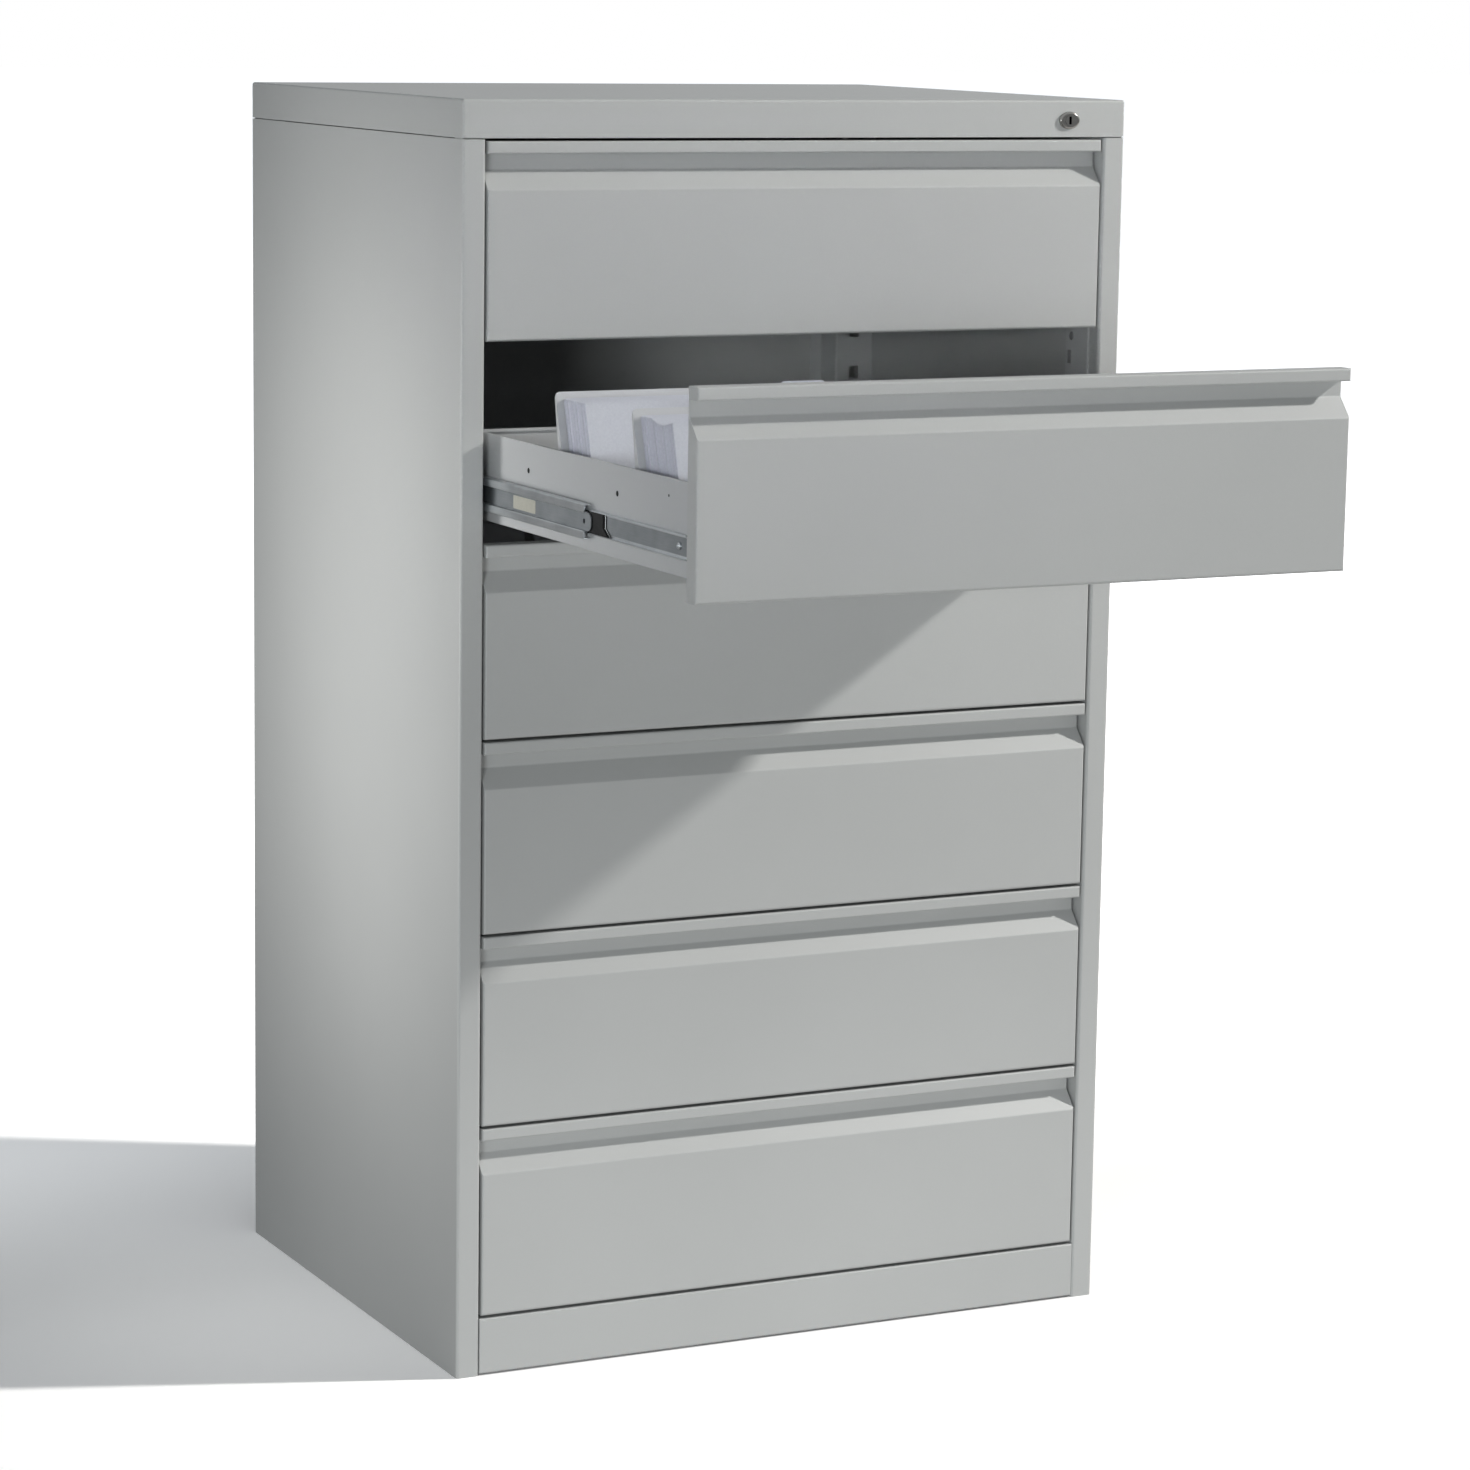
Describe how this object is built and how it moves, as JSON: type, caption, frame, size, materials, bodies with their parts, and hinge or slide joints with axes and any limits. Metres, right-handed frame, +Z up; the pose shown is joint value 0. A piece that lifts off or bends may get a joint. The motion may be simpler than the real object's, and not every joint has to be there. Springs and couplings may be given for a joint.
{
  "type": "card index cabinet",
  "caption": "Tall steel cabinet for index cards: full-width grip drawers on telescopic ball slides, sliding support plates in lanes, and one lock whose bar holds every drawer.",
  "frame": {"origin": "on the floor under the middle of the carcass", "axes": "+Z up, drawer fronts face -Y, +X to the right seen from the front"},
  "size_m": [0.787, 1.12, 1.357],
  "materials": {
    "cabinet_paint": "light grey powder coat, fine texture",
    "frame_paint": "light grey powder coat",
    "tray_paint": "light grey powder coat, satin",
    "plate_paint": "light grey powder coat, satin",
    "slide_zinc": "zinc plated, satin",
    "plated_steel": "zinc plated",
    "card_paper": "matte card",
    "buffer_rubber": "black",
    "lock_plating": "bright nickel plate",
    "guide_plastic": "black"
  },
  "bodies": {
    "cabinet": {"back_panel": "cabinet_paint", "back_rivets": "plated_steel", "base_frame": "frame_paint", "drawer_buffers": "buffer_rubber", "front_upright_left": "frame_paint", "front_upright_right": "frame_paint", "left_side_panel": "cabinet_paint", "levelling_nuts": "plated_steel", "levelling_screws": "plated_steel", "lock_bar_guides": "guide_plastic", "lock_housing": "lock_plating", "lock_nut": "plated_steel", "plinth_panel": "cabinet_paint", "rear_upright_left": "frame_paint", "rear_upright_right": "frame_paint", "right_side_panel": "cabinet_paint", "slide_outers_left": "slide_zinc", "slide_outers_right": "slide_zinc", "top_panel": "cabinet_paint"},
    "lock_barrel": {"lock_plug": "lock_plating", "lock_cam": "plated_steel"},
    "lock_bar": {"lock_bar": "plated_steel"},
    "drawer_1": {"drawer_1_front": "cabinet_paint", "drawer_1_tray": "tray_paint", "drawer_1_lane_dividers": "tray_paint", "drawer_1_slide_inners": "slide_zinc"},
    "slides_1": {"drawer_1_slide_middles": "slide_zinc"},
    "plates_1": {"drawer_1_support_plates": "plate_paint"},
    "drawer_2": {"drawer_2_front": "cabinet_paint", "drawer_2_tray": "tray_paint", "drawer_2_lane_dividers": "tray_paint", "drawer_2_slide_inners": "slide_zinc"},
    "slides_2": {"drawer_2_slide_middles": "slide_zinc"},
    "plates_2": {"drawer_2_support_plates": "plate_paint", "drawer_2_card_stacks": "card_paper"},
    "drawer_3": {"drawer_3_front": "cabinet_paint", "drawer_3_tray": "tray_paint", "drawer_3_lane_dividers": "tray_paint", "drawer_3_slide_inners": "slide_zinc"},
    "slides_3": {"drawer_3_slide_middles": "slide_zinc"},
    "plates_3": {"drawer_3_support_plates": "plate_paint"},
    "drawer_4": {"drawer_4_front": "cabinet_paint", "drawer_4_tray": "tray_paint", "drawer_4_lane_dividers": "tray_paint", "drawer_4_slide_inners": "slide_zinc"},
    "slides_4": {"drawer_4_slide_middles": "slide_zinc"},
    "plates_4": {"drawer_4_support_plates": "plate_paint"},
    "drawer_5": {"drawer_5_front": "cabinet_paint", "drawer_5_tray": "tray_paint", "drawer_5_lane_dividers": "tray_paint", "drawer_5_slide_inners": "slide_zinc"},
    "slides_5": {"drawer_5_slide_middles": "slide_zinc"},
    "plates_5": {"drawer_5_support_plates": "plate_paint"},
    "drawer_6": {"drawer_6_front": "cabinet_paint", "drawer_6_tray": "tray_paint", "drawer_6_lane_dividers": "tray_paint", "drawer_6_slide_inners": "slide_zinc"},
    "slides_6": {"drawer_6_slide_middles": "slide_zinc"},
    "plates_6": {"drawer_6_support_plates": "plate_paint"}
  },
  "joints": [
    {"name": "drawer_1_slide", "type": "slide", "parent": "cabinet", "child": "drawer_1", "axis": [0, -1, 0], "range_m": [0, 0.51]},
    {"name": "slides_1_run", "type": "slide", "parent": "cabinet", "child": "slides_1", "axis": [0, -1, 0], "range_m": [0, 0.28162]},
    {"name": "plates_1_shift", "type": "slide", "parent": "drawer_1", "child": "plates_1", "axis": [0, 1, 0], "range_m": [-0.36, 0.095]},
    {"name": "drawer_2_slide", "type": "slide", "parent": "cabinet", "child": "drawer_2", "axis": [0, -1, 0], "range_m": [-0.5, 0.01]},
    {"name": "slides_2_run", "type": "slide", "parent": "cabinet", "child": "slides_2", "axis": [0, -1, 0], "range_m": [-0.276, 0.00562]},
    {"name": "plates_2_shift", "type": "slide", "parent": "drawer_2", "child": "plates_2", "axis": [0, 1, 0], "range_m": [-0.03, 0.18]},
    {"name": "drawer_3_slide", "type": "slide", "parent": "cabinet", "child": "drawer_3", "axis": [0, -1, 0], "range_m": [0, 0.51]},
    {"name": "slides_3_run", "type": "slide", "parent": "cabinet", "child": "slides_3", "axis": [0, -1, 0], "range_m": [0, 0.28162]},
    {"name": "plates_3_shift", "type": "slide", "parent": "drawer_3", "child": "plates_3", "axis": [0, 1, 0], "range_m": [-0.36, 0.095]},
    {"name": "drawer_4_slide", "type": "slide", "parent": "cabinet", "child": "drawer_4", "axis": [0, -1, 0], "range_m": [0, 0.51]},
    {"name": "slides_4_run", "type": "slide", "parent": "cabinet", "child": "slides_4", "axis": [0, -1, 0], "range_m": [0, 0.28162]},
    {"name": "plates_4_shift", "type": "slide", "parent": "drawer_4", "child": "plates_4", "axis": [0, 1, 0], "range_m": [-0.36, 0.095]},
    {"name": "drawer_5_slide", "type": "slide", "parent": "cabinet", "child": "drawer_5", "axis": [0, -1, 0], "range_m": [0, 0.51]},
    {"name": "slides_5_run", "type": "slide", "parent": "cabinet", "child": "slides_5", "axis": [0, -1, 0], "range_m": [0, 0.28162]},
    {"name": "plates_5_shift", "type": "slide", "parent": "drawer_5", "child": "plates_5", "axis": [0, 1, 0], "range_m": [-0.36, 0.095]},
    {"name": "drawer_6_slide", "type": "slide", "parent": "cabinet", "child": "drawer_6", "axis": [0, -1, 0], "range_m": [0, 0.51]},
    {"name": "slides_6_run", "type": "slide", "parent": "cabinet", "child": "slides_6", "axis": [0, -1, 0], "range_m": [0, 0.28162]},
    {"name": "plates_6_shift", "type": "slide", "parent": "drawer_6", "child": "plates_6", "axis": [0, 1, 0], "range_m": [-0.36, 0.095]},
    {"name": "lock_bar_lift", "type": "slide", "parent": "cabinet", "child": "lock_bar", "axis": [0, 0, 1], "range_m": [0, 0.01]},
    {"name": "lock_turn", "type": "hinge", "parent": "cabinet", "child": "lock_barrel", "pos_m": [0.3225, -0.31, 1.335], "axis": [0, 1, 0], "range_deg": [0, 90.1]}
  ],
  "couplings": [
    {"joint": "slides_1_run", "follows": "drawer_1_slide", "ratio": 0.552},
    {"joint": "slides_2_run", "follows": "drawer_2_slide", "ratio": 0.552},
    {"joint": "slides_3_run", "follows": "drawer_3_slide", "ratio": 0.552},
    {"joint": "slides_4_run", "follows": "drawer_4_slide", "ratio": 0.552},
    {"joint": "slides_5_run", "follows": "drawer_5_slide", "ratio": 0.552},
    {"joint": "slides_6_run", "follows": "drawer_6_slide", "ratio": 0.552},
    {"joint": "lock_turn", "follows": "lock_bar_lift", "rad_per_m": 157.08}
  ]
}
